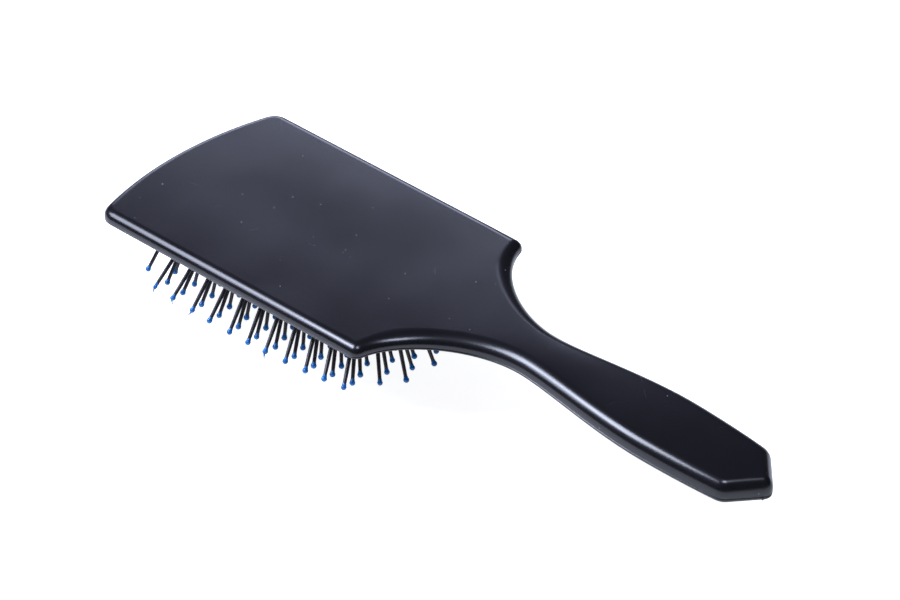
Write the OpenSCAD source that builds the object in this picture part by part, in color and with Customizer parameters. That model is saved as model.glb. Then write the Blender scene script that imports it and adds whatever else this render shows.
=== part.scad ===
// Paddle hair brush: two moulded shells, an air-cushioned rubber pad and splayed ball-tipped pins.
// X runs along the brush to the point of the handle, Z is up, and the brush lies with its pins down.
// The origin is on the ground under the middle of the brush.

/* [Overall] */
// Length from the outer end of the head to the point of the handle
brush_l = 245; // [210:1:300]
// Width of the head at its outer corners
head_w = 80.5; // [77:0.5:100]
// Width of the head at its shoulders
shoulder_w = 77; // [66:0.5:80]
// Distance from the outer end of the head to its shoulders
head_l = 120; // [105:1:150]
// How far the outer end bows out between its corners
head_bow = 7; // [4:0.5:12]

/* [Body section] */
// Thickness of the head at its edge
head_t = 4.5; // [4.2:0.1:8]
// Thickness of the handle at its end
handle_t = 6.8; // [6:0.1:12]
// How far the underside of the handle falls below the head at its end
handle_drop = 6; // [2:0.5:10]
// Radius of the upper edge
top_edge_r = 2.3; // [1:0.1:2.5]
// Radius of the lower edge
low_edge_r = 1.1; // [0.5:0.1:1.5]
// Thickness of the outer walls
wall = 2.4; // [1.6:0.1:3]
// Thickness of the back over the hollows
roof = 1.6; // [1.2:0.1:2]

/* [Handle outline] */
// Narrowest width, at the neck
neck_w = 18.4; // [14:0.1:26]
// Width at the widest part of the grip
grip_w = 27.4; // [20:0.1:34]
// Width where the pointed end starts
butt_w = 23.4; // [18:0.1:30]
// Length of the pointed end
point_l = 9.7; // [5:0.1:14]
// Place of the neck, as a share of the handle's length
neck_at = 0.313; // [0.25:0.01:0.4]
// Place of the widest part, as a share of the handle's length
grip_at = 0.69; // [0.6:0.01:0.8]

/* [Cushion] */
// Width of the head's rim beside the cushion
rim_side = 12; // [9:0.5:14]
// Distance from the outer corners of the head to the cushion
rim_out = 5; // [5:0.5:12]
// Distance from the cushion to the shoulders
rim_in = 8; // [6.5:0.5:12]
// Corner radius of the cushion
cushion_r = 17; // [12:0.5:20]
// How far the top of the cushion stands out from the lip of the head
crown_h = 7; // [6:0.5:12]
// Radius of the cushion's crown across the brush
crown_across_r = 72; // [60:1:120]
// Radius of the cushion's crown along the brush
crown_along_r = 400; // [300:10:800]
// Thickness of the rubber sheet
sheet_t = 1.6; // [1.2:0.1:2]
// Width of the flange that the shells clamp
flange_w = 3; // [2:0.1:3.6]
// Height of the raised collar round the cushion
collar_h = 2; // [1.8:0.1:3]
// Width of the raised collar
collar_w = 5.5; // [4:0.1:5.5]
// Thickness of the collar over the flange
collar_t = 1.4; // [1:0.1:1.8]

/* [Pins] */
// Number of pin columns along the brush, an odd number
columns = 11; // [7:2:13]
// Distance from the cushion's side to the outer column
pin_edge = 7; // [6:0.5:12]
// Distance from the cushion's end to the last pin
pin_end = 4; // [4:0.5:12]
// Distance between the pins of a column
pin_pitch = 7.3; // [5.5:0.1:9]
// Length of a pin from the cushion to the middle of its ball
pin_l = 23.5; // [15:0.5:26]
// Pin diameter at the cushion
pin_root_d = 1.6; // [1.2:0.1:1.9]
// Pin diameter at the ball
pin_tip_d = 1.2; // [1:0.1:1.4]
// Diameter of the nail head behind the sheet
pin_head_d = 2.5; // [2.2:0.1:2.8]
// Diameter of the ball tip
ball_d = 1.85; // [1.7:0.05:2.2]
// Sideways lean of the outer column, in degrees
splay_side = 48; // [20:1:50]
// Lean of the last pins towards the handle, in degrees
splay_end = 26; // [10:1:40]
// Place along the cushion where the pins stand straight, from its middle
upright_at = -25; // [-25:1:0]

/* [Hidden] */
seat_gap = 0.1;
hole_gap = 0.2;
side_gap = 0.3;
bore_gap = 0.02;
splay_power = 1.4;

// Lengths taken up by the rounding of each corner
corner_round = 5;
shoulder_round = 3;
butt_round = 2;
point_round = 2.8;

// Body outline
handle_l = brush_l - head_l;
corner = [head_bow, head_w / 2];
shoulder = [head_l, shoulder_w / 2];
neck = [head_l + neck_at * handle_l, neck_w / 2];
grip = [head_l + grip_at * handle_l, grip_w / 2];
point_d = unit([point_l, -butt_w / 2]);
point = [brush_l + point_round * point_d.x / 2, 0];
butt = point - [point_l, -butt_w / 2];
end_r = (pow(head_w / 2, 2) + pow(head_bow, 2)) / (2 * head_bow);
end_angle = asin(head_w / 2 / end_r);
neck_run = neck.x - shoulder.x;
grip_run = grip.x - neck.x;
butt_run = butt.x - grip.x;
// Control points of the three curves from the shoulder to the pointed end
shoulder_curve = [
    shoulder,
    shoulder + [0.02 * neck_run, 0.45 * (neck.y - shoulder.y)],
    neck - [0.47 * neck_run, 0],
    neck
];
grip_curve = [neck, neck + [0.22 * grip_run, 0], grip - [0.37 * grip_run, 0], grip];
butt_fall = 0.6 * (grip.y - butt.y);
butt_curve = [grip, grip + [0.26 * butt_run, 0], butt + [-0.26 * butt_run, butt_fall], butt];

function bezier(c, t) =
    pow(1 - t, 3) * c[0] + 3 * t * pow(1 - t, 2) * c[1] + 3 * t * t * (1 - t) * c[2] + pow(t, 3) * c[3];
function slope(c, t) =
    pow(1 - t, 2) * (c[1] - c[0]) + 2 * t * (1 - t) * (c[2] - c[1]) + t * t * (c[3] - c[2]);
function unit(v) = v / norm(v);
function inward(d) = [unit(d).y, -unit(d).x];
function bezier_inset(c, t, e) = bezier(c, t) + e * inward(slope(c, t));
function arc_inset(a, e) = [end_r - (end_r - e) * cos(a), (end_r - e) * sin(a)];
// The corner between two edges with directions d1 and d2, moved inwards by e
function mitre(p, d1, d2, e) =
    p + e * (inward(d1) + inward(d2)) / (1 + inward(d1) * inward(d2));
function blend(a, c, b, n) =
    [for (i = [0:n]) let (t = i / n) pow(1 - t, 2) * a + 2 * t * (1 - t) * c + t * t * b];

side_d = unit(shoulder - corner);
end_d = [sin(end_angle), cos(end_angle)];
shoulder_d = unit(slope(shoulder_curve, 0));
butt_d = unit(slope(butt_curve, 1));
arc_trim = corner_round / end_r * 180 / PI;
shoulder_trim = shoulder_round / (3 * norm(shoulder_curve[1] - shoulder_curve[0]));
butt_trim = 1 - butt_round / (3 * norm(butt_curve[3] - butt_curve[2]));

// One half of the outline, from the end of the head to the point, moved inwards by e
function half_outline(e) = concat(
    [for (i = [0:8]) arc_inset((end_angle - arc_trim) * i / 8, e)],
    [for (i = [1:6]) blend(
        arc_inset(end_angle - arc_trim, e),
        mitre(corner, end_d, side_d, e),
        corner + corner_round * side_d + e * inward(side_d), 6)[i]],
    [for (i = [1:5]) corner + (corner_round + i / 6
        * (norm(shoulder - corner) - corner_round - shoulder_round)) * side_d + e * inward(side_d)],
    [for (i = [0:5]) blend(
        shoulder - shoulder_round * side_d + e * inward(side_d),
        mitre(shoulder, side_d, shoulder_d, e),
        bezier_inset(shoulder_curve, shoulder_trim, e), 5)[i]],
    [for (i = [1:12]) bezier_inset(shoulder_curve, shoulder_trim + (1 - shoulder_trim) * i / 12, e)],
    [for (i = [1:8]) bezier_inset(grip_curve, i / 8, e)],
    [for (i = [1:4]) bezier_inset(butt_curve, butt_trim * i / 4, e)],
    [for (i = [1:3]) blend(
        bezier_inset(butt_curve, butt_trim, e),
        mitre(butt, butt_d, point_d, e),
        butt + butt_round * point_d + e * inward(point_d), 3)[i]],
    [for (i = [0:3]) blend(
        point - point_round * point_d + e * inward(point_d),
        mitre(point, point_d, [-point_d.x, point_d.y], e),
        mirrored(point - point_round * point_d + e * inward(point_d)), 6)[i]]
);
function mirrored(p) = [p.x, -p.y];
function outline(e) =
    let (half = half_outline(e), n = len(half))
    concat(half, [for (i = [n - 2:-1:1]) mirrored(half[i])]);

// Heights of the body, above the lip of the head, at a distance s from the end of the head
low_share = 0.22;
high_share = 0.5;
function handle_at(s) = max(0, min(1, (s - head_l) / handle_l));
function top_z(s) = head_t - (head_t + handle_drop - handle_t) * pow(handle_at(s), 2.4);
function low_z(s) = -handle_drop * pow(handle_at(s), 1.1);
function share_z(s, share) = low_z(s) + share * (top_z(s) - low_z(s));
function part_z(s) = share_z(s, low_share);

// Cushion and pin field
cushion_l = head_l - head_bow - rim_out - rim_in;
cushion_w = shoulder_w - 2 * rim_side;
cushion_x = head_bow + rim_out + cushion_l / 2;
crown_axis_z = crown_across_r - crown_h;
flange_floor = collar_t - collar_h;
flange_t = part_z(0) - flange_floor - 2 * seat_gap;
column_pitch = (cushion_w - 2 * pin_edge) / (columns - 1);
field_w = cushion_w / 2 - pin_edge;
field_l = cushion_l / 2 - pin_end;
nail_t = 0.7;
nail_gap = 0.1;
// The most that a pin leans away from square to the sheet, which sets how far back its nail head stands
lean_from_sheet = norm([
    splay_side - asin(field_w / crown_across_r),
    splay_end - asin(field_l / crown_along_r)
]);
nail_off = (sheet_t / 2 + pin_head_d / 2 * sin(lean_from_sheet)) / cos(lean_from_sheet) + nail_gap;
spigot_r = 0.35;
spigot_l = 1.1;
vent_r = 0.6;

function crown_sag(x) = crown_along_r - sqrt(pow(crown_along_r, 2) - x * x);
// Height of the middle of the rubber sheet, x and y from the middle of the cushion
function sheet_z(x, y) =
    crown_axis_z + sheet_t / 2 - sqrt(pow(crown_across_r - crown_sag(x), 2) - y * y);
function column_y(k) = (k - (columns + 1) / 2) * column_pitch;
// Share of the field's half length that the outer columns lose at each end, and how late it starts
inner_loss = 0.08;
inner_power = 2;
outer_loss = 0.15;
outer_power = 6;
function reach_in(k) = field_l * (1 - inner_loss * pow(abs(column_y(k)) / field_w, inner_power));
function reach_out(k) = field_l * (1 - outer_loss * pow(abs(column_y(k)) / field_w, outer_power));
// Every other column is moved by half a pitch
function column_shift(k) = (k % 2 == 1) ? 0.5 : 0;
function column_x(k) =
    let (shift = column_shift(k))
    [for (j = [ceil(-reach_out(k) / pin_pitch - shift):floor(reach_in(k) / pin_pitch - shift)])
        (j + shift) * pin_pitch];
function lean_side(k) =
    sign(column_y(k)) * splay_side * pow(abs(column_y(k)) / field_w, splay_power);
function lean_end(x) = splay_end * (x - upright_at) / (field_l - upright_at);
function ball_depth(k, x) =
    pin_l * cos(lean_side(k)) * cos(lean_end(x)) - sheet_z(x, column_y(k)) + ball_d / 2;
// The lip of the head is this high when the lowest ball touches the ground
lip_z = max([for (k = [1:columns]) for (x = column_x(k)) ball_depth(k, x)]);

// Locating pips between the shells
pip_r = 1.2;
pip_h = 0.6;
pip_gap = 0.05;
boss_r = 2.1;
chamber_wall = 1.5;
channel_y = (shoulder_w / 2 - wall + cushion_w / 2 + flange_w + chamber_wall) / 2;
pips = [
    [cushion_x, channel_y],
    [cushion_x, -channel_y],
    [neck.x, 0],
    [(grip.x + butt.x) / 2, 0]
];
ribs = [neck.x + 0.35 * grip_run, grip.x - 0.15 * grip_run];
rib_t = 1.4;

module place() {
    translate([-brush_l / 2, 0, lip_z]) children();
}

module cushion_place() {
    translate([cushion_x - brush_l / 2, 0, lip_z]) children();
}

// A rounded rectangle the size of the cushion, grown by g all round
module cushion_outline(g) {
    r = cushion_r + g;
    straight_l = cushion_l / 2 - cushion_r;
    straight_w = cushion_w / 2 - cushion_r;
    square([2 * straight_l, 2 * (straight_w + r)], center = true);
    square([2 * (straight_l + r), 2 * straight_w], center = true);
    for (sx = [-1, 1], sy = [-1, 1])
        translate([sx * straight_l, sy * straight_w]) circle(r = r, $fn = 96);
}

module cushion_prism(g, z0, z1) {
    translate([cushion_x, 0, z0]) linear_extrude(z1 - z0) cushion_outline(g);
}

// The whole outer form: rings of the outline, moved in along the rounded edges
module body_form() {
    low = [for (a = [0:45:90]) [low_edge_r * (1 - sin(a)), low_share * (1 - cos(a))]];
    high = [for (a = [0:30:90]) [top_edge_r * (1 - cos(a)), 1 - high_share * (1 - sin(a))]];
    levels = concat(low, high);
    n = len(outline(0));
    m = len(levels);
    points = [for (v = levels) for (p = outline(v[0])) [p.x, p.y, share_z(p.x, v[1])]];
    walls = [for (r = [0:m - 2], i = [0:n - 1], t = [0, 1])
        let (a = r * n + i, b = r * n + (i + 1) % n)
        t == 0 ? [a, b, b + n] : [a, b + n, a + n]];
    base = [for (i = [0:n / 2 - 1], t = [0, 1])
        let (a = i, b = i + 1, c = (n - i - 1) % n, d = (n - i) % n)
        t == 0 ? [a, d, c] : [a, c, b]];
    caps = [for (f = base) if (f[0] != f[1] && f[1] != f[2] && f[0] != f[2]) f];
    top = [for (f = caps) [f[0], f[2], f[1]] + (m - 1) * n * [1, 1, 1]];
    polyhedron(points, concat(walls, caps, top), convexity = 6);
}

// Everything between two heights that follow the length of the brush
module height_band(low_share_at, low_shift, high_share_at, high_shift) {
    steps = [for (i = [0:24]) i / 24];
    stations = concat([-1, head_l / 2], [for (t = steps) head_l + t * handle_l], [brush_l + 1]);
    n = len(stations);
    lower = [for (s = stations) [s, share_z(s, low_share_at) + low_shift]];
    upper = [for (i = [n - 1:-1:0]) [stations[i], share_z(stations[i], high_share_at) + high_shift]];
    rotate([90, 0, 0]) linear_extrude(head_w + 2, center = true) polygon(concat(lower, upper));
}

module pip(p, r, h) {
    translate([p.x, p.y, part_z(p.x) - h]) cylinder(r = r, h = h + 1, $fn = 48);
}

// The spaces inside the back shell, outside the air chamber
module back_hollow() {
    difference() {
        intersection() {
            translate([0, 0, -handle_drop]) linear_extrude(head_t + handle_drop) polygon(outline(wall));
            height_band(low_share, -1, 1, -roof);
        }
        cushion_prism(flange_w + chamber_wall, -handle_drop, head_t);
        for (p = pips)
            translate([p.x, p.y, -handle_drop]) cylinder(r = boss_r, h = head_t + handle_drop, $fn = 48);
        for (s = ribs)
            translate([s, -head_w / 2, -handle_drop]) cube([rib_t, head_w, head_t + handle_drop]);
    }
}

// Back of the head and handle in one moulding, with the chamber behind the cushion
module back_shell() {
    color([0.13, 0.13, 0.15]) place() {
        difference() {
            intersection() {
                body_form();
                height_band(low_share, 0, 1, 1);
            }
            back_hollow();
            cushion_prism(flange_w - chamber_wall, part_z(0) - 1, head_t - roof);
        }
        for (p = pips) pip(p, pip_r, pip_h);
    }
}

// Front of the handle and rim of the head, with the raised collar that holds the flange
module front_shell() {
    color([0.17, 0.17, 0.2]) place() difference() {
        union() {
            intersection() {
                body_form();
                height_band(0, -1, low_share, 0);
            }
            cushion_prism(collar_w, -collar_h, part_z(0));
        }
        cushion_prism(0, -collar_h - 1, head_t);
        cushion_prism(flange_w + side_gap, flange_floor, head_t);
        for (p = pips) pip(p, pip_r + pip_gap, pip_h + pip_gap);
    }
}

// The crown is a barrel: an arc along the brush, turned about an axis high above it
module crown_barrel(inset) {
    r = crown_along_r - inset;
    translate([cushion_x, 0, crown_axis_z]) rotate([0, 90, 0]) rotate_extrude($fn = 180)
        intersection() {
            translate([crown_across_r - crown_along_r, 0]) circle(r = r, $fn = 360);
            translate([0, -cushion_l / 2 - 1]) square([crown_across_r, cushion_l + 2]);
        }
}

module pin_place(k, x) {
    translate([x, column_y(k), sheet_z(x, column_y(k))])
        rotate([lean_side(k), -lean_end(x), 0]) children();
}

// Domed rubber pad with a flange, a hole for every pin and one air vent
module cushion() {
    flange_z = flange_floor + seat_gap;
    top = flange_z + flange_t;
    color([0.1, 0.1, 0.11]) place() difference() {
        union() {
            intersection() {
                crown_barrel(0);
                cushion_prism(-side_gap, -crown_h - 1, top);
            }
            cushion_prism(flange_w, flange_z, top);
        }
        intersection() {
            crown_barrel(sheet_t);
            cushion_prism(-side_gap - sheet_t, -crown_h - 1, top + 1);
        }
        translate([cushion_x, 0, 0]) {
            for (k = [1:columns]) for (x = column_x(k)) pin_place(k, x)
                cylinder(r = pin_root_d / 2 + hole_gap, h = 4 * sheet_t, center = true, $fn = 48);
            translate([cushion_l / 2 - pin_end / 2, 0, -crown_h]) cylinder(r = vent_r, h = crown_h, $fn = 48);
        }
    }
}

// A tapered pin with a nail head behind the sheet and a spigot for its ball
module pin() {
    shank_end = -(pin_l - ball_d / 2 - 0.2);
    rotate_extrude($fn = 48) polygon([
        [0, nail_off + nail_t],
        [pin_head_d / 2, nail_off + nail_t],
        [pin_head_d / 2, nail_off],
        [pin_root_d / 2, nail_off],
        [pin_root_d / 2, 0],
        [pin_tip_d / 2, shank_end],
        [spigot_r, shank_end],
        [spigot_r, shank_end - spigot_l],
        [0, shank_end - spigot_l]
    ]);
}

// A teardrop ball that seats on the pin's end
module ball() {
    shank_end = -(pin_l - ball_d / 2 - 0.2);
    bore_r = spigot_r + bore_gap;
    rotate_extrude($fn = 48) difference() {
        union() {
            translate([0, -pin_l]) circle(d = ball_d, $fn = 48);
            polygon([
                [0, -pin_l],
                [0.46 * ball_d, -pin_l + 0.2 * ball_d],
                [pin_tip_d / 2, shank_end],
                [0, shank_end]
            ]);
        }
        translate([-ball_d, -pin_l - ball_d]) square([ball_d, 2 * ball_d]);
        translate([0, shank_end - spigot_l - bore_gap]) square([bore_r, 2 * ball_d]);
    }
}

module pins(k) {
    color([0.08, 0.08, 0.09]) cushion_place() for (x = column_x(k)) pin_place(k, x) pin();
}

module tips(k) {
    color([0.1, 0.45, 0.84]) cushion_place() for (x = column_x(k)) pin_place(k, x) ball();
}

back_shell();
front_shell();
cushion();
for (k = [1:columns]) pins(k);
for (k = [1:columns]) tips(k);
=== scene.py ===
import functools
import math
import random

import bmesh
import bpy
import numpy as np
from mathutils import Matrix, Vector


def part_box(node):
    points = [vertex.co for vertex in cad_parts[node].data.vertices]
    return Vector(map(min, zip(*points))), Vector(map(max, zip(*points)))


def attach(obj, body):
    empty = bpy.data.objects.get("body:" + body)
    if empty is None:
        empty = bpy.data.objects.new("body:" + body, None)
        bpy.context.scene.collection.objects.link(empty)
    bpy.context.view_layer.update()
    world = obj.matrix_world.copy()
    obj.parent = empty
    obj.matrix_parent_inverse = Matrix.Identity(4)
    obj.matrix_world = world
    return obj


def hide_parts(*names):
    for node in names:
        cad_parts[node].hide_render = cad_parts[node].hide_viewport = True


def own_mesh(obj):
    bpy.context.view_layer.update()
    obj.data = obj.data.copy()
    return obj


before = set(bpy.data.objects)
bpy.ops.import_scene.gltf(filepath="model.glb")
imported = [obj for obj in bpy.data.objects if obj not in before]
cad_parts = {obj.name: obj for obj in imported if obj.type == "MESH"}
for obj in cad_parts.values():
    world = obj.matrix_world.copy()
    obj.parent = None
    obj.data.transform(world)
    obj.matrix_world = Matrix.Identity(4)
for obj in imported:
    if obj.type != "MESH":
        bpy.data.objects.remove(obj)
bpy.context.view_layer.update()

MM = 0.001

# Driving sizes of the CAD model, in mm
BRUSH_L, HEAD_W, SHOULDER_W, HEAD_L, HEAD_BOW = 245, 80.5, 77, 120, 7
HEAD_T, HANDLE_T, HANDLE_DROP = 4.5, 6.8, 6
LOW_EDGE_R, WALL, ROOF = 1.1, 2.4, 1.6
NECK_W, GRIP_W, BUTT_W, POINT_L, NECK_AT, GRIP_AT = 18.4, 27.4, 23.4, 9.7, 0.313, 0.69
RIM_SIDE, RIM_OUT, RIM_IN, CUSHION_R = 12, 5, 8, 17
CROWN_H, CROWN_ACROSS_R, CROWN_ALONG_R = 7, 72, 400
SHEET_T, FLANGE_W, COLLAR_H, COLLAR_W, COLLAR_T = 1.6, 3, 2, 5.5, 1.4
COLUMNS, PIN_EDGE, PIN_END, PIN_PITCH, PIN_L = 11, 7, 4, 7.3, 23.5
PIN_ROOT_D, PIN_TIP_D, PIN_HEAD_D, BALL_D = 1.6, 1.2, 2.5, 1.85
SPLAY_SIDE, SPLAY_END, UPRIGHT_AT, SPLAY_POWER = 48, 26, -25, 1.4
SEAT_GAP, SIDE_GAP, NAIL_T, NAIL_GAP = 0.1, 0.3, 0.7, 0.1
CORNER_ROUND, SHOULDER_ROUND, BUTT_ROUND, POINT_ROUND = 5, 3, 2, 2.8
LOW_SHARE, TOP_POWER, LOW_POWER = 0.22, 2.4, 1.1
SHOULDER_OUT, SHOULDER_PULL, NECK_PULL = 0.02, 0.45, 0.47
NECK_EASE, GRIP_EASE, BUTT_EASE, BUTT_FALL_SHARE = 0.22, 0.37, 0.26, 0.6

# The lip of the head stands at this height in the row frame
LIP_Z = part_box("back_shell")[1].z / MM - HEAD_T


# ---------------------------------------------------------------- outline


def vec(x, y):
    return np.array([x, y], float)


def unit(v):
    return v / np.hypot(*v)


def inward(d):
    u = unit(d)
    return vec(u[1], -u[0])


HANDLE_L = BRUSH_L - HEAD_L
CORNER, SHOULDER = vec(HEAD_BOW, HEAD_W / 2), vec(HEAD_L, SHOULDER_W / 2)
NECK = vec(HEAD_L + NECK_AT * HANDLE_L, NECK_W / 2)
GRIP = vec(HEAD_L + GRIP_AT * HANDLE_L, GRIP_W / 2)
POINT_D = unit(vec(POINT_L, -BUTT_W / 2))
POINT = vec(BRUSH_L + POINT_ROUND * POINT_D[0] / 2, 0)
BUTT = POINT - vec(POINT_L, -BUTT_W / 2)
END_R = ((HEAD_W / 2) ** 2 + HEAD_BOW**2) / (2 * HEAD_BOW)
END_ANGLE = math.asin(HEAD_W / 2 / END_R)
NECK_RUN, GRIP_RUN, BUTT_RUN = NECK[0] - SHOULDER[0], GRIP[0] - NECK[0], BUTT[0] - GRIP[0]
SHOULDER_CURVE = [
    SHOULDER,
    SHOULDER + vec(SHOULDER_OUT * NECK_RUN, SHOULDER_PULL * (NECK[1] - SHOULDER[1])),
    NECK - vec(NECK_PULL * NECK_RUN, 0),
    NECK,
]
GRIP_CURVE = [NECK, NECK + vec(NECK_EASE * GRIP_RUN, 0), GRIP - vec(GRIP_EASE * GRIP_RUN, 0), GRIP]
BUTT_FALL = BUTT_FALL_SHARE * (GRIP[1] - BUTT[1])
BUTT_CURVE = [
    GRIP,
    GRIP + vec(BUTT_EASE * BUTT_RUN, 0),
    BUTT + vec(-BUTT_EASE * BUTT_RUN, BUTT_FALL),
    BUTT,
]


def bezier(c, t):
    u = 1 - t
    return u**3 * c[0] + 3 * t * u**2 * c[1] + 3 * t * t * u * c[2] + t**3 * c[3]


def slope(c, t):
    return (1 - t) ** 2 * (c[1] - c[0]) + 2 * t * (1 - t) * (c[2] - c[1]) + t * t * (c[3] - c[2])


def bezier_inset(c, t, e):
    return bezier(c, t) + e * inward(slope(c, t))


def arc_inset(a, e):
    return vec(END_R - (END_R - e) * math.cos(a), (END_R - e) * math.sin(a))


def mitre(p, d1, d2, e):
    n1, n2 = inward(d1), inward(d2)
    return p + e * (n1 + n2) / (1 + n1 @ n2)


def shares(steps):
    return np.linspace(0, 1, steps + 1)


def rounded(a, c, b, n):
    """Points along a curve from a to b that bends towards c."""
    return [(1 - t) ** 2 * a + 2 * t * (1 - t) * c + t * t * b for t in shares(n)]


SIDE_D, END_D = unit(SHOULDER - CORNER), vec(math.sin(END_ANGLE), math.cos(END_ANGLE))
SHOULDER_D, BUTT_D = unit(slope(SHOULDER_CURVE, 0)), unit(slope(BUTT_CURVE, 1))
ARC_TRIM = CORNER_ROUND / END_R
SHOULDER_TRIM = SHOULDER_ROUND / (3 * np.hypot(*(SHOULDER_CURVE[1] - SHOULDER_CURVE[0])))
BUTT_TRIM = 1 - BUTT_ROUND / (3 * np.hypot(*(BUTT_CURVE[3] - BUTT_CURVE[2])))
SIDE_L = np.hypot(*(SHOULDER - CORNER))


# Steps along each stretch of half the outline
END_STEPS, CORNER_STEPS, SIDE_STEPS, SHOULDER_STEPS, NECK_STEPS = 24, 16, 40, 14, 48
GRIP_STEPS, BUTT_STEPS, BUTT_CORNER_STEPS, FACET_STEPS, POINT_STEPS = 32, 16, 10, 8, 16


@functools.lru_cache(maxsize=None)
def half_outline(e):
    """One half of the outline, from the end of the head to the point, moved inwards by e."""
    pts = [arc_inset((END_ANGLE - ARC_TRIM) * t, e) for t in shares(END_STEPS)]
    pts += rounded(
        arc_inset(END_ANGLE - ARC_TRIM, e),
        mitre(CORNER, END_D, SIDE_D, e),
        CORNER + CORNER_ROUND * SIDE_D + e * inward(SIDE_D),
        CORNER_STEPS,
    )[1:]
    run = SIDE_L - CORNER_ROUND - SHOULDER_ROUND
    for t in shares(SIDE_STEPS)[1:-1]:
        pts.append(CORNER + (CORNER_ROUND + t * run) * SIDE_D + e * inward(SIDE_D))
    pts += rounded(
        SHOULDER - SHOULDER_ROUND * SIDE_D + e * inward(SIDE_D),
        mitre(SHOULDER, SIDE_D, SHOULDER_D, e),
        bezier_inset(SHOULDER_CURVE, SHOULDER_TRIM, e),
        SHOULDER_STEPS,
    )
    neck = np.linspace(SHOULDER_TRIM, 1, NECK_STEPS + 1)[1:]
    pts += [bezier_inset(SHOULDER_CURVE, t, e) for t in neck]
    pts += [bezier_inset(GRIP_CURVE, t, e) for t in shares(GRIP_STEPS)[1:]]
    butt = np.linspace(0, BUTT_TRIM, BUTT_STEPS + 1)[1:]
    pts += [bezier_inset(BUTT_CURVE, t, e) for t in butt]
    pts += rounded(
        bezier_inset(BUTT_CURVE, BUTT_TRIM, e),
        mitre(BUTT, BUTT_D, POINT_D, e),
        BUTT + BUTT_ROUND * POINT_D + e * inward(POINT_D),
        BUTT_CORNER_STEPS,
    )[1:]
    last, start = POINT - POINT_ROUND * POINT_D, BUTT + BUTT_ROUND * POINT_D
    pts += [start + (last - start) * t + e * inward(POINT_D) for t in shares(FACET_STEPS)[1:-1]]
    a = last + e * inward(POINT_D)
    b = vec(a[0], -a[1])
    tip = mitre(POINT, POINT_D, vec(-POINT_D[0], POINT_D[1]), e)
    pts += rounded(a, tip, b, POINT_STEPS)[: POINT_STEPS // 2 + 1]
    pts = np.array(pts)
    pts[0, 1] = pts[-1, 1] = 0
    return pts


def handle_at(s):
    return np.clip((s - HEAD_L) / HANDLE_L, 0, 1)


def top_z(s):
    return HEAD_T - (HEAD_T + HANDLE_DROP - HANDLE_T) * handle_at(s) ** TOP_POWER


def low_z(s):
    return -HANDLE_DROP * handle_at(s) ** LOW_POWER


def share_z(s, share):
    return low_z(s) + share * (top_z(s) - low_z(s))


# ---------------------------------------------------------------- mesh helpers

MERGE = 1e-7  # in metres
CREASE, FINE_CREASE, RUBBER_CREASE, PIN_CREASE = 32, 30, 50, 40  # in degrees


def placed(points):
    """Points in mm from the head's end and the lip, as row frame metres."""
    p = np.array(points, float).reshape(-1, 3) + [-BRUSH_L / 2, 0, LIP_Z]
    return p * MM


def new_object(name, points, faces, smooth_angle=CREASE):
    mesh = bpy.data.meshes.new(name)
    mesh.from_pydata([tuple(p) for p in placed(points)], [], faces)
    mesh.validate()
    obj = bpy.data.objects.new(name, mesh)
    bpy.context.scene.collection.objects.link(obj)
    fix_normals(obj)
    smooth(obj, smooth_angle)
    return obj


def fix_normals(obj):
    bm = bmesh.new()
    bm.from_mesh(obj.data)
    bmesh.ops.remove_doubles(bm, verts=bm.verts, dist=MERGE)
    bmesh.ops.dissolve_degenerate(bm, dist=MERGE, edges=bm.edges)
    bmesh.ops.recalc_face_normals(bm, faces=bm.faces)
    bm.to_mesh(obj.data)
    bm.free()


def smooth(obj, angle):
    obj.data.shade_smooth()
    obj.data.set_sharp_from_angle(angle=math.radians(angle))


def apply_modifiers(obj):
    graph = bpy.context.evaluated_depsgraph_get()
    mesh = bpy.data.meshes.new_from_object(obj.evaluated_get(graph))
    obj.modifiers.clear()
    obj.data = mesh


def weigh_normals(obj):
    """Lets the large faces set the shading, so that small ones beside them don't show."""
    mod = obj.modifiers.new("shading", "WEIGHTED_NORMAL")
    mod.keep_sharp, mod.weight = True, 80


def boolean(obj, tool, operation):
    """Cuts or joins with another object, which is removed."""
    mod = obj.modifiers.new("cut", "BOOLEAN")
    mod.operation, mod.object, mod.solver = operation, tool, "EXACT"
    apply_modifiers(obj)
    bpy.data.objects.remove(tool)


ROW_STEP = 0.02  # the least distance between two rows of a cap


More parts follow.
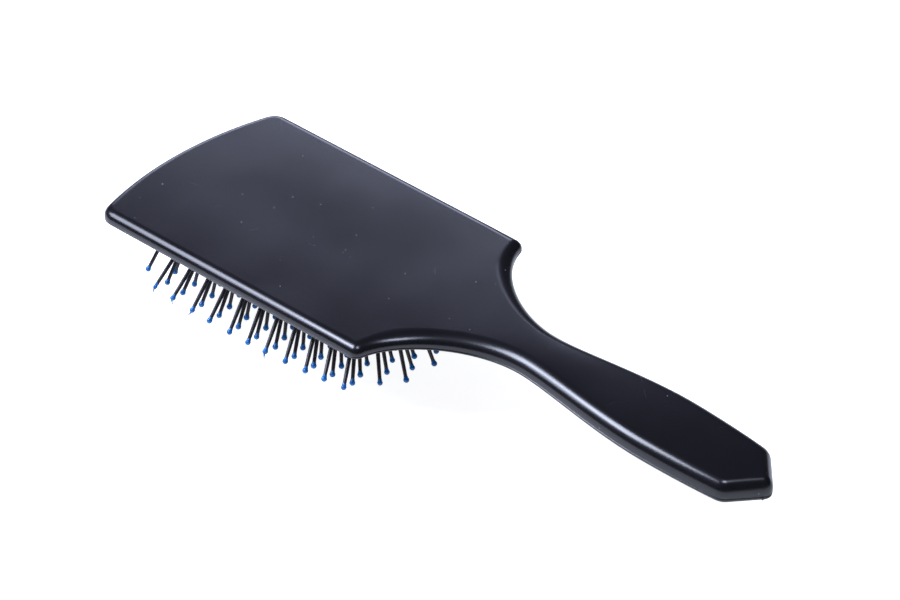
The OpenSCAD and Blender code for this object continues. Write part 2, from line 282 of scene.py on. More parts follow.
class Form:
    """A closed form built of rings that follow the brush's outline, and caps across it."""

    def __init__(self):
        self.points, self.faces, self.n = [], [], len(half_outline(0))

    def ring(self, e, height):
        """A ring of the outline moved inwards by e: one number, or one for each point of a half."""
        start, step = half_outline(0), half_outline(1) - half_outline(0)
        half = start + step * np.reshape(e, (-1, 1))
        mirror = half[-2:0:-1] * [1, -1]
        xy = np.vstack([half, mirror])
        z = height(xy[:, 0], xy[:, 1])
        first = len(self.points)
        self.points += [tuple(p) for p in np.column_stack([xy, z])]
        return list(range(first, first + len(xy)))

    def join(self, a, b):
        m = len(a)
        self.faces += [(a[i], a[(i + 1) % m], b[(i + 1) % m], b[i]) for i in range(m)]

    def cap(self, ring, height, across=28):
        """A grid across the outline, from one side of a ring to the other."""
        n, rows, last = self.n, [], -math.inf
        for i in range(1, n - 1):
            left, right = ring[i], ring[len(ring) - i]
            p, q = np.array(self.points[left]), np.array(self.points[right])
            t = (1 - np.cos(np.linspace(0, math.pi, across + 1)[1:-1])) / 2
            # Where the outline doubles back at the shoulder, the rows still go forwards
            last = max(p[0], last + ROW_STEP)
            x, y = np.full(len(t), last), p[1] + (q[1] - p[1]) * t
            first = len(self.points)
            self.points += list(zip(x, y, height(x, y)))
            rows.append([left, *range(first, first + len(t)), right])
        for a, b in zip(rows, rows[1:]):
            self.faces += [(a[j], b[j], b[j + 1], a[j + 1]) for j in range(across)]
        for pole, row in ((ring[0], rows[0]), (ring[n - 1], rows[-1])):
            self.faces += [(pole, row[j], row[j + 1]) for j in range(across)]


def half_width(x):
    """Half the width of the outline at a distance from the head's end."""
    half = half_outline(0)
    return np.interp(x, half[:, 0], half[:, 1])


# ---------------------------------------------------------------- shells

# The parting line is a small groove: how far each ring of a lip is drawn back, and its height
PART_E, PART_UP = 0.16, 0.02
BACK_LIP = [(PART_E, PART_UP), (0.05, 0.12), (0, 0.26)]
FRONT_LIP = [(PART_E, -PART_UP), (0.05, -0.1)]
ROLL_STEPS, LOW_ROLL_STEPS, LOW_ROLL_SHARE = 14, 8, 0.82
OUTLINE = half_outline(0)
ALONG = np.concatenate([[0], np.cumsum(np.hypot(*np.diff(OUTLINE, axis=0).T))])
# Distance along the outline past the shoulder's corner, and how wide and deep the edge rolls there
PAST_SHOULDER = ALONG - np.interp(SHOULDER[0], OUTLINE[:, 0], ALONG)
ROLL_AT = [-14, 2, 12, 40, 72, 110, 140]
ROLL_E = np.interp(PAST_SHOULDER, ROLL_AT, [3.3, 3.7, 5.4, 4.6, 4.1, 3.9, 3.1])
ROLL_SHARE = np.interp(PAST_SHOULDER, ROLL_AT, [0.84, 0.84, 0.8, 0.78, 0.76, 0.74, 0.7])


# The handle's top falls towards its sides, and the head's back sinks near its middle
FALL, FALL_POWER, FALL_FROM, FALL_RUN = 0.55, 2.2, 12, 40
SINK, SINK_AT, SINK_L, SINK_W = 0.1, 60, 42, 40


def crowned(x, y):
    """How far the top lies under the plain shape."""
    w = np.maximum(half_width(x), 1)
    side = np.clip(np.abs(y) / w, 0, 1)
    on_handle = np.clip((x - HEAD_L - FALL_FROM) / FALL_RUN, 0, 1)
    on_handle = on_handle * on_handle * (3 - 2 * on_handle)
    across = np.cos(np.clip(y / SINK_W, -1, 1) * math.pi / 2) ** 2
    on_head = np.exp(-(((x - SINK_AT) / SINK_L) ** 2)) * across
    return FALL * on_handle * side**FALL_POWER + SINK * on_head


def back_top(x, y):
    return top_z(x) - crowned(x, y)


def edge_height(rise):
    """The height of a ring on the rounded top edge; the rise is 0 at its foot and 1 at its top."""
    depth = ROLL_SHARE * (1 - rise)
    depth = np.concatenate([depth, depth[-2:0:-1]])

    def height(x, y):
        base = share_z(x, LOW_SHARE)
        return base + (1 - depth) * (back_top(x, y) - base)

    return height


def over_part(up):
    """A height over the parting line."""
    return lambda x, y: share_z(x, LOW_SHARE) + up


def make_back():
    """The back shell: a rolled edge, a crowned top, and a hollow inside."""
    form = Form()
    rings = [form.ring(e, over_part(up)) for e, up in BACK_LIP]
    for a in np.radians(np.linspace(0, 90, ROLL_STEPS + 1)):
        rings.append(form.ring(ROLL_E * (1 - math.cos(a)), edge_height(math.sin(a))))
    for a, b in zip(rings, rings[1:]):
        form.join(a, b)
    form.cap(rings[-1], back_top)
    inner = form.ring(WALL, over_part(PART_UP))
    roof = form.ring(WALL, lambda x, y: top_z(x) - ROOF)
    form.join(rings[0], inner)
    form.join(inner, roof)
    form.cap(roof, lambda x, y: top_z(x) - ROOF, 10)
    obj = new_object("back_shell_skin", form.points, form.faces)
    weigh_normals(obj)
    return obj


BURR_BACK, BURR_L, BURR_ROOT = 4.6, 2.4, -0.5
BURR_HANG = [0.02, 0.25, 0.4, 0.34, 0.75, 1.15, 0.9, 0.3, 0.04]
BURR_REACH = [-0.05, 0.06, 0.1, 0.08, 0.16, 0.22, 0.16, 0.06, -0.05]


def make_burr():
    """A thin tongue of moulding flash that hangs from the parting line near the handle's point."""
    along = vec(POINT_D[0], -POINT_D[1])
    out = vec(along[1], -along[0])
    start = vec(POINT[0], -POINT[1]) - BURR_BACK * along
    points, faces, around = [], [], 6
    for s, fall, reach in zip(np.linspace(0, BURR_L, len(BURR_HANG)), BURR_HANG, BURR_REACH):
        x, y = start + s * along
        z = share_z(x, LOW_SHARE)
        section = [(BURR_ROOT, 0.03), (reach * 0.6, 0.05), (reach, -0.04)]
        section += [(reach, -0.6 * fall), (reach * 0.5, -fall), (BURR_ROOT, -0.05)]
        points += [(x + out[0] * o, y + out[1] * o, z + h) for o, h in section]
    for i in range(len(BURR_HANG) - 1):
        a, b = i * around, (i + 1) * around
        faces += [(a + j, a + (j + 1) % around, b + (j + 1) % around, b + j) for j in range(around)]
    faces += [tuple(range(around)), tuple(range(len(points) - 1, len(points) - 1 - around, -1))]
    return new_object("flash_burr", points, faces)


CUSHION_L = HEAD_L - HEAD_BOW - RIM_OUT - RIM_IN
CUSHION_W = SHOULDER_W - 2 * RIM_SIDE
CUSHION_X = HEAD_BOW + RIM_OUT + CUSHION_L / 2
PART_Z = share_z(0, LOW_SHARE)
FLANGE_FLOOR = COLLAR_T - COLLAR_H
FLANGE_Z = FLANGE_FLOOR + SEAT_GAP
FLANGE_TOP = PART_Z - SEAT_GAP
VENT_X, VENT_R = CUSHION_X + CUSHION_L / 2 - PIN_END / 2, 0.6


def cushion_loop(g, per_corner=22, per_side=40):
    """Points round the cushion's outline grown by g, from its middle."""
    r = CUSHION_R + g
    sl, sw = CUSHION_L / 2 - CUSHION_R, CUSHION_W / 2 - CUSHION_R
    pts = []
    for cx, cy, a0 in ((sl, sw, 0), (-sl, sw, 90), (-sl, -sw, 180), (sl, -sw, 270)):
        for a in np.radians(np.linspace(a0, a0 + 90, per_corner)):
            pts.append((cx + r * math.cos(a), cy + r * math.sin(a)))
    out = []
    for i, p in enumerate(pts):
        q = pts[(i + 1) % len(pts)]
        out.append(p)
        if i % per_corner == per_corner - 1:
            for t in np.linspace(0, 1, per_side + 1)[1:-1]:
                out.append((p[0] + (q[0] - p[0]) * t, p[1] + (q[1] - p[1]) * t))
    return np.array(out)


def swept(profile):
    """A ring round the cushion: a closed profile of (growth, height) carried along its outline."""
    points, faces = [], []
    m = len(cushion_loop(0))
    for g, z in profile:
        loop = cushion_loop(g) + [CUSHION_X, 0]
        points += [(x, y, z) for x, y in loop]
    k = len(profile)
    for j in range(k):
        for i in range(m):
            a, b = j * m + i, j * m + (i + 1) % m
            c, d = (j + 1) % k * m + (i + 1) % m, (j + 1) % k * m + i
            faces.append((a, b, c, d))
    return points, faces


def quarter(cx, cz, r, a0, a1, n=5):
    """Points of a rounded corner in a profile."""
    turn = np.radians(np.linspace(a0, a1, n))
    return [(cx + r * math.cos(a), cz + r * math.sin(a)) for a in turn]


def prism(name, g, z0, z1):
    """A straight block with the cushion's outline grown by g."""
    loop = cushion_loop(g) + [CUSHION_X, 0]
    m = len(loop)
    points = [(x, y, z) for z in (z0, z1) for x, y in loop]
    faces = [tuple(range(m)), tuple(range(2 * m - 1, m - 1, -1))]
    faces += [(i, (i + 1) % m, m + (i + 1) % m, m + i) for i in range(m)]
    return new_object(name, points, faces)


# The collar's rounded edges, and how it laps over the opening and the lip in the front shell
COLLAR_R, COLLAR_IN_R, FOOT_R, FOOT_Z = 0.7, 0.45, 0.4, -0.55
LAP, LAP_Z, LAP_IN, LAP_IN_Z, TOP_GAP, CUT_OVER, CUT_IN = 0.4, 0.3, 0.3, 0.5, 0.05, 4, 0.8


def collar_profile():
    """The collar's section as (growth of the cushion's outline, height)."""
    top = PART_Z - TOP_GAP
    seat = FLANGE_W + SIDE_GAP
    profile = [(seat, top), (seat, FLANGE_FLOOR), (0, FLANGE_FLOOR)]
    profile += quarter(COLLAR_IN_R, -COLLAR_H + COLLAR_IN_R, COLLAR_IN_R, 180, 270)
    profile += quarter(COLLAR_W - COLLAR_R, -COLLAR_H + COLLAR_R, COLLAR_R, -90, 0)
    profile += [(COLLAR_W, FOOT_Z)] + quarter(COLLAR_W + FOOT_R, -FOOT_R, FOOT_R, 180, 90, 4)[1:]
    profile += [(COLLAR_W + LAP, LAP_Z), (COLLAR_W - LAP_IN, LAP_IN_Z), (COLLAR_W - LAP_IN, top)]
    return profile


def make_front():
    """The front shell: a plate with a rounded edge, an opening, and a collar round it."""
    form = Form()
    rings = [form.ring(e, over_part(up)) for e, up in FRONT_LIP]
    for a in np.radians(np.linspace(90, 0, LOW_ROLL_STEPS + 1)):
        share = LOW_SHARE * LOW_ROLL_SHARE * (1 - math.cos(a))
        rings.append(form.ring(LOW_EDGE_R * (1 - math.sin(a)), lambda x, y, s=share: share_z(x, s)))
    for a, b in zip(rings, rings[1:]):
        form.join(a, b)
    form.cap(rings[-1], lambda x, y: share_z(x, 0), 12)
    form.cap(rings[0], over_part(-PART_UP), 12)
    obj = new_object("front_shell_skin", form.points, form.faces)
    opening = prism("cut_tool", COLLAR_W - CUT_IN, -COLLAR_H - CUT_OVER, HEAD_T + CUT_OVER)
    boolean(obj, opening, "DIFFERENCE")
    boolean(obj, new_object("collar_tool", *swept(collar_profile())), "UNION")
    fix_normals(obj)
    smooth(obj, FINE_CREASE)
    weigh_normals(obj)
    return obj


# ---------------------------------------------------------------- cushion and pins

CROWN_AXIS_Z = CROWN_ACROSS_R - CROWN_H
COLUMN_PITCH = (CUSHION_W - 2 * PIN_EDGE) / (COLUMNS - 1)
FIELD_W, FIELD_L = CUSHION_W / 2 - PIN_EDGE, CUSHION_L / 2 - PIN_END
LEAN_FROM_SHEET = math.radians(
    math.hypot(
        SPLAY_SIDE - math.degrees(math.asin(FIELD_W / CROWN_ACROSS_R)),
        SPLAY_END - math.degrees(math.asin(FIELD_L / CROWN_ALONG_R)),
    )
)
HEAD_RISE = PIN_HEAD_D / 2 * math.sin(LEAN_FROM_SHEET)
NAIL_OFF = (SHEET_T / 2 + HEAD_RISE) / math.cos(LEAN_FROM_SHEET) + NAIL_GAP


def crown_z(x, y, depth):
    """Height of the rubber sheet at a depth into it, x and y from the cushion's middle."""
    sag = CROWN_ALONG_R - np.sqrt(CROWN_ALONG_R**2 - np.square(x))
    return CROWN_AXIS_Z + depth - np.sqrt((CROWN_ACROSS_R - sag) ** 2 - np.square(y))


def column_y(k):
    return (k - (COLUMNS + 1) / 2) * COLUMN_PITCH


# How much shorter the outer columns are at the head's end and at the handle
OUTER_LOSS, OUTER_POWER, INNER_LOSS, INNER_POWER = 0.15, 6, 0.08, 2


def column_x(k):
    """Places of a column's pins along the head; every second column is shifted by half a pitch."""
    q, shift = abs(column_y(k)) / FIELD_W, 0.5 if k % 2 else 0
    low = math.ceil(-FIELD_L * (1 - OUTER_LOSS * q**OUTER_POWER) / PIN_PITCH - shift)
    high = math.floor(FIELD_L * (1 - INNER_LOSS * q**INNER_POWER) / PIN_PITCH - shift)
    return [(j + shift) * PIN_PITCH for j in range(low, high + 1)]


def pin_matrix(k, x):
    y = column_y(k)
    side = math.copysign(SPLAY_SIDE * (abs(y) / FIELD_W) ** SPLAY_POWER, y) if y else 0
    end = SPLAY_END * (x - UPRIGHT_AT) / (FIELD_L - UPRIGHT_AT)
    turn = Matrix.Rotation(math.radians(side), 4, "X") @ Matrix.Rotation(math.radians(-end), 4, "Y")
    return Matrix.Translation((CUSHION_X + x, y, float(crown_z(x, y, SHEET_T / 2)))) @ turn


PINS = {k: [(x, pin_matrix(k, x)) for x in column_x(k)] for k in range(1, COLUMNS + 1)}


EDGE_CROWDING = 0.45  # draws the grid's rows towards the pad's long edges


def rounded_grid(g, nu, nv):
    """A grid of points that fills the cushion's outline grown by g, from its middle."""
    r = CUSHION_R + g
    sl, sw = CUSHION_L / 2 - CUSHION_R, CUSHION_W / 2 - CUSHION_R
    v = np.linspace(-1, 1, nv)
    v = v * (1 - EDGE_CROWDING) + EDGE_CROWDING * np.sin(v * math.pi / 2)
    y = v * (sw + r)
    over = np.clip(np.abs(y) - sw, 0, r)
    half = sl + np.sqrt(np.maximum(r * r - over * over, 0))
    u = np.linspace(-1, 1, nu)
    return np.outer(half, u), np.outer(y, np.ones(nu))


# Each pin stands in a raised eyelet with a shallow ring round it
EYELET_H, EYELET_VARIES, EYELET_R = 0.34, 0.05, 1.35
RING_DEPTH, RING_R, RING_W = 0.1, 2.1, 0.6
PAD_ROLL, PAD_ROLL_STEPS, FLANGE_EDGE = 1.1, 6, 0.3
GRID, QUICK_GRID = (300, 170), (150, 90)
VENT_SIDES = 24


def with_eyelets(x, y, z):
    """The sheet's heights with an eyelet for each pin."""
    rng = np.random.default_rng(7)
    for row in PINS.values():
        for _, m in row:
            c = m.translation
            d = np.hypot(x - (c.x - CUSHION_X), y - c.y)
            tall = EYELET_H + EYELET_VARIES * rng.standard_normal()
            ring = RING_DEPTH * np.exp(-(((d - RING_R) / RING_W) ** 2))
            z = z - tall * np.exp(-((d / EYELET_R) ** 4)) + ring
    return z


class Pad:
    """The closed form of the rubber pad: two sheets of grid, and loops that follow their edge."""

    def __init__(self, nu, nv):
        self.nu, self.nv, self.points, self.faces = nu, nv, [], []
        self.edge = [(0, i) for i in range(nu)] + [(j, nu - 1) for j in range(1, nv)]
        self.edge += [(nv - 1, i) for i in range(nu - 2, -1, -1)]
        self.edge += [(j, 0) for j in range(nv - 2, 0, -1)]

    def sheet(self, g, depth, shape=lambda x, y, z: z):
        """A domed sheet; its edge comes back as a loop."""
        x, y = rounded_grid(g, self.nu, self.nv)
        z = shape(x, y, crown_z(x, y, depth))
        first = len(self.points)
        self.points.extend(zip(x.ravel() + CUSHION_X, y.ravel(), z.ravel()))
        for j in range(self.nv - 1):
            for i in range(self.nu - 1):
                a = first + j * self.nu + i
                self.faces.append((a, a + 1, a + 1 + self.nu, a + self.nu))
        return [first + j * self.nu + i for j, i in self.edge]

    def loop(self, g, heights):
        x, y = rounded_grid(g, self.nu, self.nv)
        first = len(self.points)
        z = np.broadcast_to(heights, len(self.edge))
        self.points.extend((x[a] + CUSHION_X, y[a], pz) for a, pz in zip(self.edge, z))
        return list(range(first, first + len(self.edge)))

    def join(self, a, b):
        m = len(a)
        self.faces.extend((a[i], a[(i + 1) % m], b[(i + 1) % m], b[i]) for i in range(m))


def make_vent_tool():
    around = np.linspace(0, 2 * math.pi, VENT_SIDES, endpoint=False)
    ring = np.column_stack([VENT_X + VENT_R * np.cos(around), VENT_R * np.sin(around)])
    points = [(x, y, z) for z in (-CROWN_H, 0) for x, y in ring]
    n = VENT_SIDES
    faces = [(i, (i + 1) % n, n + (i + 1) % n, n + i) for i in range(n)]
    faces += [tuple(range(n)), tuple(range(2 * n - 1, n - 1, -1))]
    return new_object("vent_tool", points, faces)


def make_cushion():
    """The rubber pad: a domed sheet with eyelets, a rolled edge, a flange, and an inner face."""
    pad = Pad(*GRID)
    wall_g = -SIDE_GAP
    loops = [pad.sheet(wall_g - PAD_ROLL, 0, with_eyelets)]
    rim = np.array([pad.points[i][2] for i in loops[0]])
    for a in np.radians(np.linspace(0, 90, PAD_ROLL_STEPS + 1))[1:]:
        drawn_in = PAD_ROLL * (1 - math.sin(a))
        loops.append(pad.loop(wall_g - drawn_in, rim + PAD_ROLL * (1 - math.cos(a))))
    loops.append(pad.loop(wall_g, FLANGE_Z))
    loops.append(pad.loop(FLANGE_W - FLANGE_EDGE, FLANGE_Z))
    loops.append(pad.loop(FLANGE_W, FLANGE_Z + FLANGE_EDGE))
    loops.append(pad.loop(FLANGE_W, FLANGE_TOP))
    loops.append(pad.loop(wall_g - SHEET_T, FLANGE_TOP))
    for a, b in zip(loops, loops[1:]):
        pad.join(a, b)
    pad.join(loops[-1], pad.sheet(wall_g - SHEET_T, SHEET_T))
    obj = new_object("cushion_rubber", pad.points, pad.faces, RUBBER_CREASE)
    boolean(obj, make_vent_tool(), "DIFFERENCE")
    smooth(obj, RUBBER_CREASE)
    return obj


def revolved(profile, sides=20):
    """A closed turned form; its profile runs from one pole to the other as (radius, height)."""
    points, faces, rings = [], [], []
    for r, z in profile:
        first = len(points)
        if r == 0:
            points.append((0, 0, z))
            rings.append([first])
        else:
            for a in np.linspace(0, 2 * math.pi, sides, endpoint=False):
                points.append((r * math.cos(a), r * math.sin(a), z))
            rings.append(list(range(first, first + sides)))
    for a, b in zip(rings, rings[1:]):
        for i in range(sides):
            j = (i + 1) % sides
            if len(a) == 1:
                faces.append((a[0], b[i], b[j]))
            elif len(b) == 1:
                faces.append((a[i], a[j], b[0]))
            else:
                faces.append((a[i], a[j], b[j], b[i]))
    return points, faces


SHANK_END = -(PIN_L - BALL_D / 2 - 0.2)
HEAD_EDGE, ROOT_FLARE, ROOT_FLARE_L = 0.15, 0.12, 0.2
SLEEVE_T, BEND, BALL_VARIES = 0.06, 0.22, 0.03
# Tips that broke or drew out in moulding, by column and pin: (thin, length of the tail, its bend)
WORN = {(1, 0): (True, 1.2, 0.3), (1, 1): (False, 1.6, 1.0), (1, 2): (False, 1.4, -0.35)}
WORN[(1, 6)] = (False, 1.9, 0.25)
THIN, TAIL_SIDE = 0.72, 0.3


def pin_profile():
    top = NAIL_OFF + NAIL_T
    head, r, t = PIN_HEAD_D / 2, PIN_ROOT_D / 2, PIN_TIP_D / 2
    profile = [(0, top), (head - HEAD_EDGE, top), (head, top - HEAD_EDGE), (head, NAIL_OFF)]
    profile += [(r + ROOT_FLARE, NAIL_OFF), (r + 0.02, NAIL_OFF - ROOT_FLARE_L)]
    profile += [(r + (t - r) * s, SHANK_END * s) for s in np.linspace(0, 1, 12)]
    return profile + [(0, SHANK_END)]


def tip_profile(size):
    """A teardrop: a ball that draws in to a short sleeve on the pin."""
    r = BALL_D / 2 * size
    sleeve = PIN_TIP_D / 2 + SLEEVE_T
    profile = [(0, SHANK_END + 0.14), (sleeve - SLEEVE_T, SHANK_END + 0.14)]
    profile += [(sleeve, SHANK_END + 0.06), (sleeve + 0.02, SHANK_END - 0.12)]
    for a in np.radians(np.linspace(38, -90, 12)):
        profile.append((r * math.cos(a), -PIN_L + r * math.sin(a)))
    profile[-1] = (0, -PIN_L - r)
    return profile


def tip_form(size, worn):
    """Points and faces of one tip, with its tail if it is worn."""
    profile = tip_profile(size)
    if not worn:
        return revolved(profile)
    thin, tail, bend = worn
    if thin:
        profile = [(r * THIN if r > PIN_TIP_D / 2 + 0.1 else r, z) for r, z in profile]
    end = profile[-1][1]
    profile = profile[:-3] + [(0.34, end + 0.1), (0.22, end - tail * 0.3)]
    profile += [(0.15, end - tail * 0.65), (0.09, end - tail * 0.95), (0, end - tail)]
    points, faces = revolved(profile)
    start = -PIN_L - BALL_D / 2 + 0.2
    points = [
        (x + bend * max(0, start - z) ** 1.5, y + TAIL_SIDE * bend * max(0, start - z), z)
        for x, y, z in points
    ]
    return points, faces


def make_columns():
    """The pins and tips of each column, every pin bent a little its own way."""
    rng = random.Random(11)
    for k, row in PINS.items():
        forms = {"pins": ([], []), "tips": ([], [])}
        for index, (_, m) in enumerate(row):
            bend = Vector((rng.gauss(0, BEND), rng.gauss(0, BEND)))
            size = 1 + rng.gauss(0, BALL_VARIES)
            made = {"pins": revolved(pin_profile()), "tips": tip_form(size, WORN.get((k, index)))}
            for kind, (points, faces) in made.items():
                base = len(forms[kind][0])
                for x, y, z in points:
                    t = max(0, -z / PIN_L)
                    bent = m @ Vector((x + bend.x * t * t, y + bend.y * t * t, z))
                    forms[kind][0].append(tuple(bent))
                forms[kind][1].extend(tuple(base + i for i in f) for f in faces)
        for kind, (points, faces) in forms.items():
            obj = new_object(f"{kind}_column_{k}", points, faces, PIN_CREASE)
            obj.data.materials.append(MATERIALS["nylon" if kind == "pins" else "blue"])
            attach(obj, f"column_{k}")
            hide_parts(f"{kind}_{k}")


# ---------------------------------------------------------------- materials


class Nodes:
    """Short calls for building a material's node tree."""

    def __init__(self, name):
        self.material = bpy.data.materials.new(name)
        self.material.use_nodes = True
        self.tree = self.material.node_tree
        self.shader = self.tree.nodes["Principled BSDF"]
        self.place = self.add("ShaderNodeTexCoord").outputs["Object"]

    def add(self, kind, **settings):
        node = self.tree.nodes.new(kind)
        for name, value in settings.items():
            setattr(node, name, value)
        return node

    def link(self, source, socket):
        if hasattr(source, "outputs"):
            source = source.outputs[0]
        self.tree.links.new(source, socket)

    def stretched(self, scale, turn):
        """Object coordinates turned about Z by an angle in degrees, then scaled."""
        vector = self.place
        for name, value in (("Rotation", (0, 0, math.radians(turn))), ("Scale", scale)):
            node = self.add("ShaderNodeMapping")
            node.inputs[name].default_value = value
            self.link(vector, node.inputs["Vector"])
            vector = node.outputs[0]
        return vector

    def noise(self, scale, detail=3.0, rough=0.5, vector=None):
        node = self.add("ShaderNodeTexNoise")
        node.inputs["Scale"].default_value = scale
        node.inputs["Detail"].default_value = detail
        node.inputs["Roughness"].default_value = rough
        self.link(vector or self.place, node.inputs["Vector"])
        return node.outputs[0]

    def voronoi(self, scale):
        node = self.add("ShaderNodeTexVoronoi")
        node.inputs["Scale"].default_value = scale
        self.link(self.place, node.inputs["Vector"])
        return node

    def ramp(self, source, low, high, to_low=0.0, to_high=1.0):
        node = self.add("ShaderNodeMapRange")
        limits = {"From Min": low, "From Max": high, "To Min": to_low, "To Max": to_high}
        for name, value in limits.items():
            node.inputs[name].default_value = value
        node.interpolation_type = "SMOOTHSTEP"
        self.link(source, node.inputs["Value"])
        return node.outputs[0]

    def math(self, operation, a, b):
        node = self.add("ShaderNodeMath", operation=operation)
        for socket, value in zip(node.inputs, (a, b)):
            if isinstance(value, (int, float)):
                socket.default_value = value
            else:
                self.link(value, socket)
        return node.outputs[0]

    def mix(self, factor, a, b):
        node = self.add("ShaderNodeMix", data_type="RGBA")
        self.link(factor, node.inputs[0])
        for socket, value in ((node.inputs[6], a), (node.inputs[7], b)):
            if isinstance(value, tuple):
                socket.default_value = (*value, 1)
            else:
                self.link(value, socket)
        return node.outputs[2]

    def bump(self, height, strength, distance):
        node = self.add("ShaderNodeBump")
        node.inputs["Strength"].default_value = strength
        node.inputs["Distance"].default_value = distance
        self.link(height, node.inputs["Height"])
        self.link(node.outputs[0], self.shader.inputs["Normal"])

    def finish(self, colour, roughness):
        self.link(colour, self.shader.inputs["Base Color"])
        self.link(roughness, self.shader.inputs["Roughness"])
        return self.material


def specks(n, scale, reach, share):
    """Small round specks in a few of the cells of a pattern."""
    cells = n.voronoi(scale)
    near = n.ramp(cells.outputs["Distance"], reach, reach * 0.55)
    chosen = n.ramp(cells.outputs["Color"], share, share + 0.02)
    return n.math("MULTIPLY", near, chosen)


def scratches(n, turn, share):
    """Fine, nearly straight lines, broken up so that only a few show."""
    lines = n.ramp(n.noise(1.0, 0.0, 0.4, n.stretched((2400, 34, 34), turn)), share, share + 0.06)
    return n.math("MULTIPLY", lines, n.ramp(n.noise(90, 1.0), 0.55, 0.7))


def black_plastic(name, dusty, gloss):
    n = Nodes(name)
    cloud = n.noise(28, 4.0, 0.6)
    base = n.mix(n.ramp(cloud, 0.3, 0.7), (0.0038, 0.0036, 0.0052), (0.0056, 0.0053, 0.0078))
    dust = n.math("MAXIMUM", specks(n, 300, 0.085, 1 - dusty), specks(n, 620, 0.14, 1 - dusty))
    lines = n.math("MAXIMUM", scratches(n, 24, 0.79), scratches(n, -47, 0.8))
    lines = n.math("MAXIMUM", lines, scratches(n, 80, 0.81))
    colour = n.mix(dust, base, (0.2, 0.2, 0.23))
    colour = n.mix(n.math("MULTIPLY", lines, 0.2), colour, (0.09, 0.09, 0.1))
    film = n.ramp(n.noise(24, 2.0, 0.5), 0.3, 0.7, gloss - 0.02, gloss + 0.03)
    rough = n.math("ADD", film, n.math("MULTIPLY", dust, 0.35))
    rough = n.math("ADD", rough, n.math("MULTIPLY", lines, 0.08))
    grain = n.noise(700, 2.0, 0.5)
    wave = n.noise(30, 1.0, 0.3)
    height = n.math("ADD", n.math("MULTIPLY", grain, 0.01), n.math("MULTIPLY", wave, 0.8))
    height = n.math("ADD", height, n.math("MULTIPLY", dust, 0.5))
    n.bump(height, 0.22, 0.00006)
    return n.finish(colour, rough)


def rubber():
    n = Nodes("black_rubber")
    bloom = n.ramp(n.noise(90, 5.0, 0.65), 0.35, 0.75)
    base = n.mix(bloom, (0.012, 0.012, 0.013), (0.026, 0.026, 0.028))
    dust = specks(n, 900, 0.2, 0.93)
    colour = n.mix(dust, base, (0.3, 0.3, 0.31))
    rough = n.ramp(n.noise(160, 4.0), 0.3, 0.7, 0.52, 0.68)
    pores = n.voronoi(2600).outputs["Distance"]
    n.bump(n.math("ADD", pores, n.noise(700, 3.0)), 0.3, 0.00008)
    return n.finish(colour, rough)


def nylon():
    n = Nodes("black_nylon")
    base = n.mix(n.ramp(n.noise(240, 3.0), 0.35, 0.7), (0.012, 0.012, 0.015), (0.022, 0.022, 0.026))
    colour = n.mix(specks(n, 900, 0.2, 0.95), base, (0.35, 0.35, 0.37))
    rough = n.ramp(n.noise(400, 3.0), 0.3, 0.7, 0.22, 0.34)
    n.bump(n.noise(1500, 2.0), 0.15, 0.00005)
    return n.finish(colour, rough)


def blue():
    n = Nodes("blue_tips")
    base = n.mix(n.ramp(n.noise(420, 3.0), 0.3, 0.7), (0.004, 0.085, 0.28), (0.01, 0.14, 0.42))
    rough = n.ramp(n.noise(900, 3.0), 0.3, 0.7, 0.16, 0.3)
    n.bump(n.noise(1300, 2.0), 0.12, 0.00006)
    n.shader.inputs["Subsurface Weight"].default_value = 0.12
    n.shader.inputs["Subsurface Radius"].default_value = (0.0003, 0.0005, 0.001)
    n.shader.inputs["Subsurface Scale"].default_value = 0.5
    return n.finish(base, rough)


MATERIALS = {
    "back": black_plastic("black_plastic_back", 0.14, 0.23),
    "front": black_plastic("black_plastic_front", 0.06, 0.28),
    "rubber": rubber(),
    "nylon": nylon(),
    "blue": blue(),
}



def on_body(obj, material, node=None):
    """Gives a stiff piece its material, hangs it under the body, and hides the CAD node that it
    stands for, when one is given.
    """
    obj.data.materials.clear()
    obj.data.materials.append(MATERIALS[material])
    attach(obj, "body")
    if node:
        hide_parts(node)


on_body(make_back(), "back", "back_shell")
on_body(make_front(), "front", "front_shell")
on_body(make_burr(), "front")

cushion = make_cushion()
cushion.data.materials.append(MATERIALS["rubber"])
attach(cushion, "cushion")
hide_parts("cushion")
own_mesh(cushion)

make_columns()


# ---------------------------------------------------------------- stage, light and camera


FLOOR_HALF, FLOOR_GLOW, MIRRORED_GLOW = 6, 0.92, 0.25


def make_floor():
    mesh = bpy.data.meshes.new("floor")
    s = FLOOR_HALF
    mesh.from_pydata([(-s, -s, 0), (s, -s, 0), (s, s, 0), (-s, s, 0)], [], [(0, 1, 2, 3)])
    floor = bpy.data.objects.new("floor", mesh)
    bpy.context.scene.collection.objects.link(floor)
    material = bpy.data.materials.new("pale_floor")
    material.use_nodes = True
    shader = material.node_tree.nodes["Principled BSDF"]
    shader.inputs["Base Color"].default_value = (0.8, 0.8, 0.8, 1)
    shader.inputs["Roughness"].default_value = 0.9
    shader.inputs["Specular IOR Level"].default_value = 0.0
    shader.inputs["Emission Color"].default_value = (1, 1, 1, 1)
    # The brush's sides mirror a dimmer floor than the camera sees, as in a photo cut out on white
    nodes, links = material.node_tree.nodes, material.node_tree.links
    ray, dim = nodes.new("ShaderNodeLightPath"), nodes.new("ShaderNodeMapRange")
    dim.inputs["To Min"].default_value = FLOOR_GLOW
    dim.inputs["To Max"].default_value = MIRRORED_GLOW
    links.new(ray.outputs["Is Glossy Ray"], dim.inputs["Value"])
    links.new(dim.outputs[0], shader.inputs["Emission Strength"])
    material.cycles.emission_sampling = "NONE"
    mesh.materials.append(material)


def towards(azimuth, elevation):
    """The direction that leads from the brush to a camera or light, from angles in degrees."""
    a, e = math.radians(azimuth), math.radians(elevation)
    return Vector((math.sin(a) * math.cos(e), -math.cos(a) * math.cos(e), math.sin(e)))


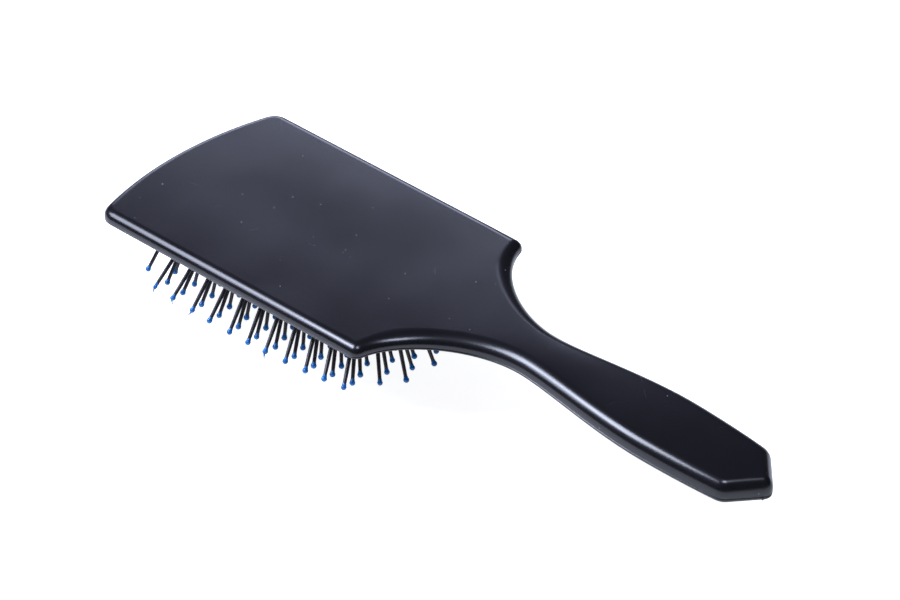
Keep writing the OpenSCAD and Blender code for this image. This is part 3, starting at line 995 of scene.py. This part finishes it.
def soft_light(name, azimuth, elevation, distance, size, power, at=(0, 0, 0.03), colour=(1, 1, 1)):
    """An area light that faces a point, from an azimuth and elevation like the camera's."""
    back_way = towards(azimuth, elevation)
    data = bpy.data.lights.new(name, "AREA")
    data.shape, data.size, data.size_y = "RECTANGLE", size[0], size[1]
    data.energy, data.color = power, colour
    light = bpy.data.objects.new(name, data)
    bpy.context.scene.collection.objects.link(light)
    light.location = Vector(at) + back_way * distance
    light.rotation_euler = back_way.to_track_quat("Z", "Y").to_euler()


def make_world():
    """A dim, slightly blue studio that the camera sees as the same white as the floor."""
    world = bpy.data.worlds.new("studio")
    world.use_nodes = True
    nodes, links = world.node_tree.nodes, world.node_tree.links
    dim, pale = nodes["Background"], nodes.new("ShaderNodeBackground")
    for node, colour, strength in ((dim, (0.8, 0.82, 1, 1), 0.07), (pale, (1, 1, 1, 1), 1)):
        node.inputs["Color"].default_value = colour
        node.inputs["Strength"].default_value = strength
    ray, mix = nodes.new("ShaderNodeLightPath"), nodes.new("ShaderNodeMixShader")
    links.new(ray.outputs["Is Camera Ray"], mix.inputs[0])
    links.new(dim.outputs[0], mix.inputs[1])
    links.new(pale.outputs[0], mix.inputs[2])
    links.new(mix.outputs[0], nodes["World Output"].inputs["Surface"])
    bpy.context.scene.world = world


make_floor()
make_world()
bpy.context.scene.view_settings.view_transform = "Standard"

soft_light("far", 180, 0, 0.67, (0.94, 0.3), 5.0, (-0.92, 0.03, 0.43), (0.68, 0.73, 1.0))
soft_light("near_left", -50, 53, 0.8, (0.31, 0.31), 6.6, (0.08, -0.01, 0.03), (0.74, 0.8, 1.0))
soft_light("near_end", -60, 45, 0.8, (0.38, 0.42), 6.0, (-0.05, -0.04, 0.03), (0.74, 0.8, 1.0))
soft_light("over", 60, 80, 0.8, (0.2, 0.2), 2.4, (0.1, 0, 0.03), (0.74, 0.8, 1.0))

AZIMUTH, ELEVATION, ROLL = 42.45, 36.53, math.radians(-0.31)
DISTANCE, TARGET = 0.761, Vector((0.00287, -0.00266, (LIP_Z + 6.12) * MM))
back_way = towards(AZIMUTH, ELEVATION)
right = (-back_way).cross(Vector((0, 0, 1))).normalized()
up = right.cross(-back_way)
right_rolled = right * math.cos(ROLL) + up * math.sin(ROLL)
up_rolled = -right * math.sin(ROLL) + up * math.cos(ROLL)
camera_data = bpy.data.cameras.new("camera")
camera_data.lens, camera_data.sensor_width, camera_data.sensor_fit = 100, 36, "HORIZONTAL"
camera_data.clip_start, camera_data.clip_end = 0.01, 50
camera = bpy.data.objects.new("camera", camera_data)
bpy.context.scene.collection.objects.link(camera)
camera.matrix_world = Matrix.Translation(TARGET + back_way * DISTANCE) @ Matrix(
    (right_rolled, up_rolled, back_way)
).transposed().to_4x4()
bpy.context.scene.camera = camera
